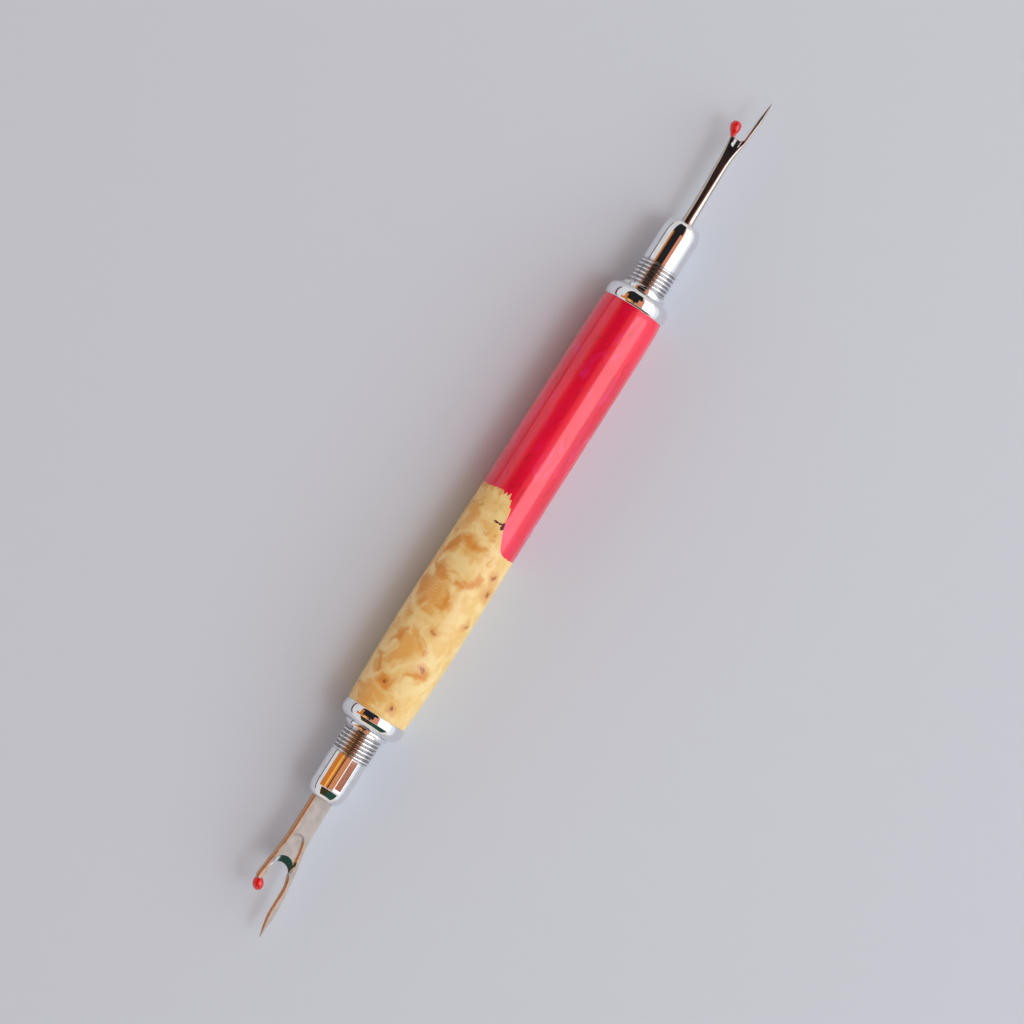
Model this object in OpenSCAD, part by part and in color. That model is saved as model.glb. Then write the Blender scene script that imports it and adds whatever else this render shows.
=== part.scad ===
// Double-ended seam ripper with a turned burl and resin handle.
// The tool lies along X on the plane Z = 0, with the small blade towards +X and the large one towards -X.
// Every end piece is drawn once in an end frame: x = 0 is the end face of the handle, +x points out of it.

/* [Handle] */
// Length of the turned handle between its two metal flanges
handle_l = 92; // [84:1:100]
// Radius of the handle where it meets the flanges
handle_end_r = 6.28; // [6.1:0.02:6.4]
// Radius of the belly of the burl half
belly_r = 6.85; // [6.7:0.05:7.2]
// Radius of the straight stretch of the resin half
straight_r = 6.57; // [6.5:0.01:6.65]
// Inner radius of the brass tube, where a reversed blade is stored
tube_inner_r = 4.87; // [4.8:0.01:4.9]
// Wall of the brass tube
tube_wall = 0.38; // [0.3:0.02:0.5]

/* [End fittings] */
// Width of the rounded flange at each end of the handle
flange_w = 3.36; // [3:0.02:4]
// Largest radius of the rounded flange
flange_r = 6.6; // [6.4:0.05:6.8]
// Width of the stop ring
ring_w = 0.76; // [0.7:0.02:1]
// Outer radius of the stop ring
ring_r = 4.6; // [4.5:0.02:4.8]
// Length of the sleeve that is pressed into the tube
sleeve_l = 6; // [5:0.5:8]
// Length of the reversing thread that shows in front of the stop ring
front_thread_l = 5.4; // [4:0.02:6]
// Length of the plain nose that holds the blade
nose_l = 9.5; // [8:0.5:12]
// Radius of the nose
nose_r = 3.92; // [3.8:0.02:3.95]

/* [Thread] */
// Pitch of the thread
pitch = 0.8; // [0.8:0.1:1]
// Crest radius of the outside thread
crest_r = 4.2; // [4.1:0.01:4.3]
// Root radius of the outside thread
root_r = 3.87; // [3.8:0.01:3.9]
// Play between the two threads, along the axis
thread_play = 0.05; // [0.04:0.01:0.08]

/* [Blades] */
// Length of each blade outside its nose
blade_l = 28.9; // [27:0.1:30]
// Width of the flat shank of the large blade
large_shank_w = 4.2; // [3.8:0.1:4.6]
// Thickness of the flat shank of the large blade
large_shank_t = 1.8; // [1.4:0.1:2]
// Roll of the large blade about the tool's axis, with its bead side up
large_roll = 20; // [0:5:40]
// Radius of the round shank of the small blade
small_shank_r = 1.35; // [1.2:0.05:1.5]

/* [Hidden] */

round_fn = 96;             // facets of a preview circle, true circles in the exact model
axis_z = belly_r;          // height of the tool's axis when it lies on its belly
tube_outer_r = tube_inner_r + tube_wall;
thread_sides = 32;         // columns of facets round a thread
thread_edge = 0.03;        // facets closer than this to a thread's end run into its end ring
inner_minor_r = root_r + 0.125;   // inner radius of the coupler's thread
inner_major_r = crest_r + 0.06;   // outer radius of the coupler's thread
mouth_r = crest_r + 0.1;   // plain bore at both ends of the coupler's thread
land_r = root_r - 0.05;    // plain land that the stop ring sits on
ring_gap = 0.04;           // gap between the flange and the stop ring
ring_play = 0.05;          // running clearance of the stop ring on its land
ring_front = flange_w + ring_gap + ring_w;
thread_front = ring_front + 0.25;         // a groove shows between ring and thread
nose_back = thread_front + front_thread_l;
nose_front = nose_back + nose_l;
stud_back = -3.5;          // inner end of the stud, in the end frame
stud_thread_back = -2.2;   // where its inner thread starts
stud_thread_front = 3.05;  // where its inner thread stops under the ring
tang_l = 8;                // length of each blade's tang inside its nose
flank = (crest_r - root_r) * tan(30);     // axial length of a flank of the 60 degree thread
crest_w = 0.2;             // width of its crest
thread_foot = 2 * flank + crest_w;

// Radii of the handle from the large end to the small one, as [x, r]
handle_outline = [
    [-handle_l / 2, handle_end_r],
    [-handle_l / 2 + 1.4, handle_end_r + 0.14],
    [-handle_l / 2 + 5, handle_end_r + 0.32],
    [-34, belly_r - 0.04],
    [-23, belly_r],
    [-12, belly_r - 0.1],
    [-3, straight_r + 0.08],
    [6, straight_r]
];
handle_front_outline = [
    [36, straight_r],
    [handle_l / 2 - 5, straight_r - 0.05],
    [handle_l / 2 - 1.4, handle_end_r + 0.14],
    [handle_l / 2, handle_end_r]
];

// Where burl and resin meet, as [x, y] points from the bead side (+Y) to the tine side (-Y).
// One broken line serves the top of the handle, one its lower half and one its underside.
seam_upper = [
    [2.6, 9], [2.5, 6.2], [2.9, 4.4], [3.1, 3.1], [2.7, 2.2], [3.1, 0.7], [1.4, -0.2],
    [-0.6, -1.1], [-2.4, -1.4], [-4, -1.8], [-7.2, -3.3], [-7.8, -4.1], [-7.6, -6.3], [-7.4, -9]
];
seam_lower = [
    [2.8, 9], [3.0, 6.2], [1.9, 4.4], [2.2, 3.1], [0.4, 2.2], [-0.2, 0.7], [-2.1, -0.2],
    [-2.6, -1.1], [-4.3, -1.4], [-4.6, -1.8], [-6.4, -3.3], [-8.3, -4.1], [-7.1, -6.3], [-7.4, -9]
];
seam_underside = [
    [4.2, 9], [3.4, 6.2], [3.9, 4.4], [2.1, 3.1], [1.6, 2.2], [-1.2, 0.7], [-1.9, -0.2],
    [-4.4, -1.1], [-5.2, -1.4], [-5.0, -1.8], [-7.9, -3.3], [-7.2, -4.1], [-8.2, -6.3], [-8, -9]
];
seam_heights = [-8, -4, 2, 8];
seam_lines = [seam_underside, seam_lower, seam_upper, seam_upper];
seam_back = -handle_l / 2 - 5;     // far side of the block that cuts the burl half out

// A smooth curve through points chosen by hand
function curve_point(a, b, c, d, t) =
    0.5 * (2 * b + (c - a) * t + (2 * a - 5 * b + 4 * c - d) * t * t + (3 * b - a - 3 * c + d) * t * t * t);
function curve(pts, steps) = concat(
    [for (i = [0 : len(pts) - 2], k = [0 : steps - 1])
        curve_point(pts[max(i - 1, 0)], pts[i], pts[i + 1], pts[min(i + 2, len(pts) - 1)], k / steps)],
    [pts[len(pts) - 1]]);
function arc(centre, r, from, to, steps) =
    [for (k = [0 : steps]) let (a = from + (to - from) * k / steps) centre + r * [cos(a), sin(a)]];
function swap(pts) = [for (p = pts) [p[1], p[0]]];

// A turned shape about the X axis, from an outline of [x, r] points
module turned(outline) {
    rotate([0, 90, 0])
        rotate_extrude($fn = round_fn)
            polygon(swap(outline));
}

// Puts what is drawn in the end frame at the small end or the large end
module at_small_end() {
    translate([handle_l / 2, 0, axis_z]) children();
}
module at_large_end() {
    translate([-handle_l / 2, 0, axis_z]) rotate([0, 0, 180]) children();
}

// --- Handle ---

function blank_outline() = concat(
    [[-handle_l / 2, tube_outer_r]],
    curve(handle_outline, 3),
    curve(handle_front_outline, 3),
    [[handle_l / 2, tube_outer_r]]);

// The half space that the burl fills, up to the broken line where it meets the resin
module burl_side() {
    rows = len(seam_heights);
    cols = len(seam_upper);
    front = [for (k = [0 : rows - 1], p = seam_lines[k]) [p[0], p[1], seam_heights[k]]];
    back = [for (k = [0 : rows - 1], p = seam_lines[k]) [seam_back, p[1], seam_heights[k]]];
    far = rows * cols;
    top = (rows - 1) * cols;
    last = cols - 1;
    polyhedron(
        points = concat(front, back),
        faces = concat(
            [for (k = [0 : rows - 2], i = [0 : cols - 2]) let (a = k * cols + i)
                each [[a, a + 1, a + cols], [a + 1, a + cols + 1, a + cols]]],
            [for (k = [0 : rows - 2], i = [0 : cols - 2]) let (a = far + k * cols + i)
                each [[a, a + cols, a + 1], [a + 1, a + cols, a + cols + 1]]],
            [for (i = [0 : cols - 2])
                each [[i, far + i, i + 1], [i + 1, far + i, far + i + 1]]],
            [for (i = [0 : cols - 2]) let (a = top + i)
                each [[a, a + 1, far + a], [a + 1, far + a + 1, far + a]]],
            [for (k = [0 : rows - 2]) let (a = k * cols)
                each [[a, a + cols, far + a], [a + cols, far + a + cols, far + a]]],
            [for (k = [0 : rows - 2]) let (a = k * cols + last)
                each [[a, far + a, a + cols], [a + cols, far + a, far + a + cols]]]));
}

module burl_section() {
    color("burlywood")
        translate([0, 0, axis_z])
            intersection() {
                turned(blank_outline());
                burl_side();
            }
}

module resin_section() {
    color("crimson")
        translate([0, 0, axis_z])
            difference() {
                turned(blank_outline());
                burl_side();
            }
}

module brass_tube() {
    color("goldenrod")
        translate([0, 0, axis_z])
            turned([
                [-handle_l / 2, tube_inner_r],
                [-handle_l / 2, tube_outer_r],
                [handle_l / 2, tube_outer_r],
                [handle_l / 2, tube_inner_r]
            ]);
}

// --- Threads ---
// A thread's surface is a grid: each column of facets follows the profile along the axis, and the next
// column starts a little further on, so that one turn comes to one pitch. Both threads count x from the
// end face of the handle, so they stay in step.

// Where a profile's four corners lie along the axis, for a thread between two radii
function thread_corners(low, high, play) =
    let (rise = tan(30), a = rise * (low - root_r), b = rise * (high - root_r))
    [a - play, b - play, thread_foot - b + play, thread_foot - a + play];

function ring_point(r, column, x) =
    let (angle = 360 * column / thread_sides)
    [x, r * cos(angle), r * sin(angle)];

function thread_point(column, row, from, to, radii, end_radii, corners) =
    let (
        turn = floor(from / pitch) - 2 + floor(row / 4),
        x = pitch * (turn + column / thread_sides) + corners[row % 4])
    x < from + thread_edge ? ring_point(end_radii[0], column, from)
    : x > to - thread_edge ? ring_point(end_radii[1], column, to)
    : ring_point(radii[row % 4], column, x);

// A threaded rod from x = from to x = to, with a plain lead before and after it
module threaded_rod(from, to, low, high, end_radii, play, leads) {
    corners = thread_corners(low, high, play);
    radii = [low, high, high, low];
    rows = 4 * (ceil(to / pitch) - floor(from / pitch) + 5);
    stride = rows + 2;
    points = [for (column = [0 : thread_sides - 1]) each concat(
        [ring_point(end_radii[0], column, from - leads[0])],
        [for (row = [0 : rows - 1]) thread_point(column, row, from, to, radii, end_radii, corners)],
        [ring_point(end_radii[1], column, to + leads[1])])];
    // Past the last column the surface meets the first one, a whole pitch further on
    function at(column, row) =
        column < thread_sides ? column * stride + row
        : row == 0 || row == stride - 1 ? row
        : min(row + 4, rows);
    function is_real(t) =
        points[t[0]] != points[t[1]] && points[t[1]] != points[t[2]] && points[t[0]] != points[t[2]];
    skin = [for (column = [0 : thread_sides - 1], row = [0 : stride - 2])
        let (
            a = at(column, row),
            b = at(column, row + 1),
            c = at(column + 1, row + 1),
            d = at(column + 1, row))
        each [[a, b, c], [a, c, d]]];
    polyhedron(
        points = points,
        faces = concat(
            [for (t = skin) if (is_real(t)) t],
            [[for (column = [0 : thread_sides - 1]) column * stride]],
            [[for (column = [thread_sides - 1 : -1 : 0]) column * stride + stride - 1]]));
}

// --- Metal fittings of one end, in the end frame ---

// Coupler: a rounded flange outside the handle and a sleeve pressed into the tube
module coupler() {
    bulge_x = 1.3;
    lip_r = 4.9;
    back_arc = [for (k = [1 : 6]) let (a = 90 - 15 * k)
        [bulge_x * (1 - sin(a)), handle_end_r + (flange_r - handle_end_r) * cos(a)]];
    front_arc = [for (k = [1 : 9]) let (a = 10 * k)
        [bulge_x + (flange_w - bulge_x) * sin(a), lip_r + (flange_r - lip_r) * cos(a)]];
    chamfer = 0.3;
    difference() {
        turned(concat(
            [[-sleeve_l, 0], [-sleeve_l, tube_inner_r - chamfer], [-sleeve_l + chamfer, tube_inner_r],
             [0, tube_inner_r], [0, handle_end_r]],
            back_arc,
            front_arc,
            [[flange_w, 0]]));
        threaded_rod(-3, flange_w - 0.45, inner_minor_r, inner_major_r, [mouth_r, mouth_r], thread_play,
            [sleeve_l, 1]);
    }
}

module stop_ring() {
    back = flange_w + ring_gap;
    edge = 0.2;
    bore_r = land_r + ring_play;
    turned([
        [back, bore_r], [back, ring_r - edge], [back + edge, ring_r],
        [ring_front - edge, ring_r], [ring_front, ring_r - edge], [ring_front, bore_r]
    ]);
}

// The nose's outline rounds in over its last stretch to the front face around the blade
function nose_outline() =
    let (round_l = 3.2, face_r = 2.75)
    concat(
        [[nose_back, 0], [nose_back, nose_r - 0.08], [nose_back + 0.08, nose_r]],
        [for (k = [0 : 8]) let (a = 10 * k)
            [nose_front - round_l + round_l * sin(a) / sin(80),
             face_r + (nose_r - face_r) * (cos(a) - cos(80)) / (1 - cos(80))]],
        [[nose_front, 0]]);

// Tip holder: stud, land for the stop ring, reversing thread and nose in one turned piece
module tip_holder_blank() {
    turned([
        [stud_back, 0], [stud_back, 2.4], [stud_back + 0.25, 3], [stud_back + 0.7, 3.5],
        [stud_thread_back, land_r], [stud_thread_back, 0]
    ]);
    threaded_rod(stud_thread_back, stud_thread_front, root_r, crest_r, [root_r, root_r], 0, [0, 0]);
    turned([[stud_thread_front, 0], [stud_thread_front, land_r], [thread_front, land_r], [thread_front, 0]]);
    threaded_rod(thread_front, nose_back, root_r, crest_r, [root_r, land_r], 0, [0, 0]);
    turned(nose_outline());
}

module small_tip_holder() {
    color("silver")
        at_small_end()
            difference() {
                tip_holder_blank();
                translate([nose_front - tang_l, 0, 0])
                    rotate([0, 90, 0])
                        cylinder(r = small_shank_r, h = tang_l + 1, $fn = round_fn);
            }
}

module large_tip_holder() {
    color("silver")
        at_large_end()
            difference() {
                tip_holder_blank();
                rotate([-large_roll, 0, 0])
                    translate([nose_front - tang_l, -large_shank_w / 2, -large_shank_t / 2])
                        cube([tang_l + 1, large_shank_w, large_shank_t]);
            }
}

// --- Blades, drawn flat with x = 0 at the nose's front face, the long tine at +y, the bead at -y ---

large_half_w = large_shank_w / 2;
large_outer_tine = [
    [0, large_half_w], [5, large_half_w + 0.03], [8, 2.2], [11, 2.52], [13.5, 3.1], [16.3, 3.6], [19.7, 4.07],
    [22.5, 4.38], [25, 4.46], [27.3, 4.37], [blade_l - 0.1, 4.26]
];
// From the long tine's point, round the gap and out along the prong under the bead
large_inner_edge = [
    [blade_l, 4.16], [28.3, 4.02], [26.8, 3.56], [24.5, 3.14], [22, 3.05], [19.7, 3.06], [18.2, 2.93],
    [17, 2.6], [15.9, 2.22], [15.15, 1.75], [14.65, 1.05], [14.45, 0.3], [14.52, -0.45], [14.9, -1.08],
    [15.6, -1.5], [16.9, -1.74], [18.9, -2], [19.6, -2.15]
];
large_outer_prong = [
    [19.5, -2.7], [19.1, -3.05], [18.5, -3.12], [16.2, -2.87], [12.8, -2.45], [9, -2.15], [4, -large_half_w],
    [0, -large_half_w]
];

// Half thickness along the large blade
large_side = [
    [0, large_shank_t / 2], [9, large_shank_t / 2], [14, 0.82], [20, 0.62], [26, 0.42], [blade_l - 0.8, 0.3],
    [blade_l, 0.1]
];

module side_slab(side, back_x, width) {
    rotate([90, 0, 0])
        linear_extrude(height = width, center = true)
            polygon(concat(
                [[back_x, side[0][1]]],
                side,
                [for (k = [len(side) - 1 : -1 : 0]) [side[k][0], -side[k][1]]],
                [[back_x, -side[0][1]]]));
}

// A hollow ground from the gap's edge back into the face, mirrored on the other face
module gap_bevel(x, y, r, back, widen, depth) {
    sliver = 0.01;
    for (face = [0, 1])
        mirror([0, 0, face])
            hull() {
                translate([x, y, 0.05]) cylinder(r = r, h = sliver, $fn = 32);
                translate([x - back, y, depth]) cylinder(r = r + widen, h = 1, $fn = 32);
            }
}

module large_blade_flat() {
    outline = concat(
        curve(large_outer_tine, 3),
        curve(large_inner_edge, 3),
        curve(large_outer_prong, 3),
        [[-tang_l, -large_half_w], [-tang_l, large_half_w]]);
    hollow = concat(
        arc([9.15, -0.2], 1.1, 100, 260, 10),
        [[10.1, -1.7], [12.4, -2.08], [15, -2.1], [14.9, 2.4], [12.9, 2.06], [11.4, 1.85], [9.9, 1.4]]);
    hollow_depth = 0.3;
    difference() {
        intersection() {
            linear_extrude(height = 4, center = true) polygon(outline);
            side_slab(large_side, -tang_l, 12);
        }
        for (face = [-1, 1])
            translate([0, 0, face * (large_shank_t / 2 + 2 - hollow_depth)])
                linear_extrude(height = 4, center = true) polygon(hollow);
        gap_bevel(16.6, 0.15, 2.15, 1.85, 0.1, 0.6);
    }
}

module large_blade() {
    color("gainsboro")
        at_large_end()
            rotate([-large_roll, 0, 0])
                translate([nose_front, 0, 0])
                    large_blade_flat();
}

// Oval bead moulded round the prong's end, leaning over the gap
module large_bead() {
    centre = [20.15, -1.88, 0];
    lean = 30;
    half_l = 1.38;
    r = 1.1;
    color("crimson")
        at_large_end()
            rotate([-large_roll, 0, 0])
                translate([nose_front, 0, 0])
                    difference() {
                        translate(centre)
                            rotate([0, 0, lean])
                                turned([for (k = [0 : 12]) [-half_l * cos(15 * k), r * sin(15 * k)]]);
                        large_blade_flat();
                    }
}

small_outer_tine = [
    [4, 1.08], [9, 0.88], [12.2, 0.82], [15, 0.82], [17.4, 1.04], [19.6, 1.38], [21.8, 1.54], [24, 1.68],
    [26.4, 1.68], [blade_l - 0.1, 1.5]
];
// From the long tine's point to the bottom of the gap, where the bead stands
small_inner_edge = [
    [blade_l, 1.42], [28.4, 1.32], [27, 1.06], [25, 0.86], [23.3, 0.76], [21.8, 0.69], [20.5, 0.68],
    [19.8, 0.56], [19.45, 0.2], [19.38, -0.5], [19.36, -1.2], [19.3, -1.95]
];
small_outer_prong = [
    [18.9, -2.05], [16.7, -1.84], [14.5, -1.68], [11.7, -1.6], [8, -1.4], [4, -1.32]
];
small_side = [[4, 1.2], [10, 1.05], [16, 0.92], [20, 0.72], [25, 0.5], [blade_l - 0.8, 0.3], [blade_l, 0.1]];

module small_blade_flat() {
    outline = concat(
        curve(small_outer_tine, 3),
        curve(small_inner_edge, 3),
        curve(small_outer_prong, 3));
    difference() {
        intersection() {
            linear_extrude(height = 4, center = true) polygon(outline);
            side_slab(small_side, 4, 8);
        }
        gap_bevel(20.25, -0.3, 0.85, 1.75, -0.05, 0.7);
    }
}

// The bead's own axis runs from the bottom of the gap, leaning away from the long tine
module at_small_bead() {
    translate([19.2, -1.64, 0]) rotate([0, 0, -14]) children();
}

module small_bead_pin() {
    turned([[-0.3, 0], [-0.3, 0.3], [1.6, 0.3], [1.6, 0]]);
}

module small_blade() {
    color("gainsboro")
        at_small_end()
            translate([nose_front, 0, 0])
                mirror([0, 1, 0]) {
                    small_blade_flat();
                    at_small_bead() small_bead_pin();
                    turned([
                        [-tang_l, 0], [-tang_l, small_shank_r], [3.5, small_shank_r], [9.5, 0.82], [9.5, 0]
                    ]);
                }
}

// Drop-shaped bead moulded round a pin on the small blade
module small_bead() {
    flank_points = [[0, 0.52], [0.8, 0.74], [1.5, 0.96], [2.25, 1.06]];
    round_x = 2.25;
    round_r = 1.06;
    color("crimson")
        at_small_end()
            translate([nose_front, 0, 0])
                mirror([0, 1, 0])
                    difference() {
                        at_small_bead()
                            turned(concat(
                                [[0, 0]],
                                curve(flank_points, 3),
                                [for (k = [1 : 6])
                                    [round_x + round_r * sin(15 * k), round_r * cos(15 * k)]]));
                        small_blade_flat();
                        at_small_bead() small_bead_pin();
                    }
}

module small_end_coupler() {
    color("silver") at_small_end() coupler();
}
module large_end_coupler() {
    color("silver") at_large_end() coupler();
}
module small_stop_ring() {
    color("silver") at_small_end() stop_ring();
}
module large_stop_ring() {
    color("silver") at_large_end() stop_ring();
}

burl_section();
resin_section();
brass_tube();
small_end_coupler();
large_end_coupler();
small_stop_ring();
large_stop_ring();
small_tip_holder();
large_tip_holder();
small_blade();
large_blade();
small_bead();
large_bead();
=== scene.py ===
"""Looks of the double-ended seam ripper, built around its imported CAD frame.

Shapes are drawn in millimetres. The parts of one end are drawn once, in an end frame whose x is 0 at
the end face of the handle and points out of it, then put at the small end or the large one.
"""
import math

import bmesh
import bpy
import numpy as np
from mathutils import Matrix, Vector
from mathutils.geometry import delaunay_2d_cdt

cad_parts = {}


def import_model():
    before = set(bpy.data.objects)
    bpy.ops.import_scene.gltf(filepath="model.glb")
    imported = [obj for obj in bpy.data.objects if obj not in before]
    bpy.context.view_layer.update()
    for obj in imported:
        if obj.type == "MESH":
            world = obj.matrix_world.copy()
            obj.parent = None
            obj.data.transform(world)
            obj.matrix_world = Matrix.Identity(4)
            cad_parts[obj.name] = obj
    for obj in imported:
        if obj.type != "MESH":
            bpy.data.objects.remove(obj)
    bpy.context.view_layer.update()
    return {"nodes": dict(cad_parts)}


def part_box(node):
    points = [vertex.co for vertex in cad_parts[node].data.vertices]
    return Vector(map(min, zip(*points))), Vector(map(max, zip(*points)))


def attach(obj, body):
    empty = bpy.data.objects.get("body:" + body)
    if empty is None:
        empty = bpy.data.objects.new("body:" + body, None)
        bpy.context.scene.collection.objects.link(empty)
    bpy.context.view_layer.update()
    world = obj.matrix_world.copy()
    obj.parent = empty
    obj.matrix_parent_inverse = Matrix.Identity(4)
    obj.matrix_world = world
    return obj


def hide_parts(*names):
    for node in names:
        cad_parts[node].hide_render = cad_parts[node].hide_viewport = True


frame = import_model()

MM = 0.001


tube_low, tube_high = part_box("brass_tube")
HANDLE_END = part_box("resin_section")[1].x / MM
AXIS_Z = (tube_low.z + tube_high.z) / 2 / MM
COLUMNS = 128              # facets round a turned metal part
HANDLE_COLUMNS = 384       # facets round the handle, fine enough for its broken seam
SHARP_EDGE = math.radians(32)


# --- Sizes shared with the CAD, in mm ---

TUBE_OUTER_R = 5.25
SEAM_R = 6.65              # the handle's radius near the broken seam
FLANGE_FRONT = 3.36
RING_FRONT = 4.16
THREAD_FRONT = 4.41
NOSE_BACK = 9.81
NOSE_FRONT = 19.31
NOSE_R = 3.92
NOSE_FACE_R = 2.75
ROOT_R = 3.87
CREST_R = 4.2
LAND_R = 3.82
PITCH = 0.8
TANG_L = 8.0
BLADE_L = 28.9
LARGE_ROLL = math.radians(20)
LARGE_HALF_W = 2.1
LARGE_HALF_T = 0.9
SMALL_SHANK_R = 1.35


# --- Curves ---

def curve(points, steps):
    """A smooth line through given points."""
    points = [np.array(p, float) for p in points]
    last = len(points) - 1
    out = []
    for i in range(last):
        a, b = points[max(i - 1, 0)], points[i]
        c, d = points[i + 1], points[min(i + 2, last)]
        for k in range(steps):
            t = k / steps
            out.append(0.5 * (2 * b + (c - a) * t + (2 * a - 5 * b + 4 * c - d) * t ** 2
                              + (3 * b - a - 3 * c + d) * t ** 3))
    out.append(points[last])
    return np.array(out)


def respace(line, step):
    """The same line with even steps."""
    line = np.array(line, float)
    along = np.concatenate([[0], np.cumsum(np.linalg.norm(np.diff(line, axis=0), axis=1))])
    count = max(2, int(round(along[-1] / step)) + 1)
    at = np.linspace(0, along[-1], count)
    return np.column_stack([np.interp(at, along, line[:, 0]), np.interp(at, along, line[:, 1])])


def smooth(x):
    x = np.clip(x, 0, 1)
    return x * x * (3 - 2 * x)


# --- Placing and making pieces ---

def on_axis(points):
    return (points + [0, 0, AXIS_Z]) * MM


def at_small_end(points):
    return (points + [HANDLE_END, 0, AXIS_Z]) * MM


def at_large_end(points):
    return (points * [-1, -1, 1] + [-HANDLE_END, 0, AXIS_Z]) * MM


def rolled(points, angle):
    """Points turned about the x axis."""
    c, s = math.cos(angle), math.sin(angle)
    x, y, z = points.T
    return np.column_stack([x, y * c - z * s, y * s + z * c])


class Skin:
    """Points and faces of one piece, gathered from grids that share their border points."""

    def __init__(self):
        self.points = []
        self.faces = []
        self.marks = []

    def add(self, points, faces, marks):
        first = len(self.points)
        self.points.extend(map(tuple, points))
        self.faces.extend(tuple(first + i for i in f) for f in faces)
        self.marks.extend(marks)

    def grid(self, rows, closed_across=True, mark=0):
        """Quads between neighbouring rows of points. mark is a number, or one for each column."""
        rows = np.array(rows)
        count, width = rows.shape[:2]
        column_marks = np.broadcast_to(mark, width)
        faces, marks = [], []
        for i in range(count - 1):
            for k in range(width if closed_across else width - 1):
                n = (k + 1) % width
                faces.append((i * width + k, i * width + n, (i + 1) * width + n, (i + 1) * width + k))
                marks.append(int(column_marks[k]))
        self.add(rows.reshape(-1, 3), faces, marks)

    def piece(self, name, place, body, slot, materials):
        """The finished mesh, put in its place, riding on its body instead of the CAD node."""
        mesh = bpy.data.meshes.new(name)
        mesh.from_pydata([tuple(p) for p in place(np.array(self.points, float))], [], self.faces)
        for material in materials:
            mesh.materials.append(material)
        mesh.polygons.foreach_set("material_index", self.marks)
        bm = bmesh.new()
        bm.from_mesh(mesh)
        bmesh.ops.remove_doubles(bm, verts=bm.verts, dist=2e-7)
        bmesh.ops.dissolve_degenerate(bm, edges=bm.edges, dist=1e-7)
        bmesh.ops.recalc_face_normals(bm, faces=bm.faces)
        bm.to_mesh(mesh)
        bm.free()
        mesh.shade_smooth()
        mesh.set_sharp_from_angle(angle=SHARP_EDGE)
        obj = bpy.data.objects.new(name, mesh)
        bpy.context.scene.collection.objects.link(obj)
        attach(obj, body)
        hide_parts(name.removesuffix("_look"))


def ring(x, r, columns=COLUMNS):
    """One ring of points round the x axis. x and r are numbers, or one value for each column."""
    angles = 2 * math.pi * np.arange(columns) / columns
    x = np.broadcast_to(np.asarray(x, float), angles.shape)
    return np.column_stack([x, r * np.cos(angles), r * np.sin(angles)])


def turned(skin, outline, columns=COLUMNS):
    skin.grid([ring(x, r, columns) for x, r in outline])


def rounded(outline, radius, steps=4):
    """An outline whose inner corners are rounded by about this radius."""
    points = [np.array(p, float) for p in outline]
    out = [points[0]]
    for before, corner, after in zip(points, points[1:], points[2:]):
        a, b = before - corner, after - corner
        la, lb = np.linalg.norm(a), np.linalg.norm(b)
        cut = min(radius, 0.45 * la, 0.45 * lb)
        start, end = corner + a / la * cut, corner + b / lb * cut
        for t in np.linspace(0, 1, steps + 1):
            out.append((1 - t) ** 2 * start + 2 * t * (1 - t) * corner + t ** 2 * end)
    out.append(points[-1])
    return out


# --- Threads ---

FLANK = math.tan(math.radians(30))
THREAD_FOOT = 2 * (CREST_R - ROOT_R) * FLANK + 0.2
THREAD_SAMPLES = np.array([-0.05, 0.03, 0.09, 0.14, 0.2, 0.29, 0.38, 0.44, 0.49, 0.55, 0.61, 0.69])
# Faces in the thread's groove. They get a darker, rougher chrome: painted shade between the teeth.
IN_GROOVE = ((THREAD_SAMPLES > 0.46) | (THREAD_SAMPLES < 0)).astype(int)


def thread_radius(x, low, high, play):
    """Radius of the thread's section at x along one pitch, its corners slightly rounded."""
    a, b = FLANK * (low - ROOT_R), FLANK * (high - ROOT_R)
    knots = [a - play, b - play, THREAD_FOOT - b + play, THREAD_FOOT - a + play]
    corners = np.array([k - PITCH for k in knots] + knots + [k + PITCH for k in knots])
    radii = np.array([low, high, high, low] * 3)
    blur = np.linspace(-0.03, 0.03, 7)
    return np.mean([np.interp(x + d, corners, radii) for d in blur], axis=0)


def threaded(skin, start, end, low, high, end_r, play, fade):
    """A right-handed thread between two plain rings of radius end_r, with rounded run-outs."""
    radii = thread_radius(THREAD_SAMPLES, low, high, play)
    turns = np.arange(math.floor(start / PITCH) - 2, math.ceil(end / PITCH) + 2)
    at = (PITCH * turns[:, None] + THREAD_SAMPLES[None, :]).ravel()
    radii = np.tile(radii, len(turns))
    lines = []
    for column in range(COLUMNS + 1):
        angle = 2 * math.pi * column / COLUMNS
        x = np.clip(at + PITCH * column / COLUMNS, start, end)
        r = end_r + (radii - end_r) * smooth(np.minimum(x - start, end - x) / fade)
        lines.append(np.column_stack([x, r * math.cos(angle), r * math.sin(angle)]))
    skin.grid(lines, closed_across=False, mark=np.tile(IN_GROOVE, len(turns)))


# --- Handle ---

HANDLE_LINE = np.concatenate([
    curve([(-46, 6.28), (-44.6, 6.42), (-41, 6.6), (-34, 6.81), (-23, 6.85), (-12, 6.75),
           (-3, 6.65), (6, 6.57)], 16),
    curve([(36, 6.57), (41, 6.52), (44.6, 6.42), (46, 6.28)], 16),
])
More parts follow.
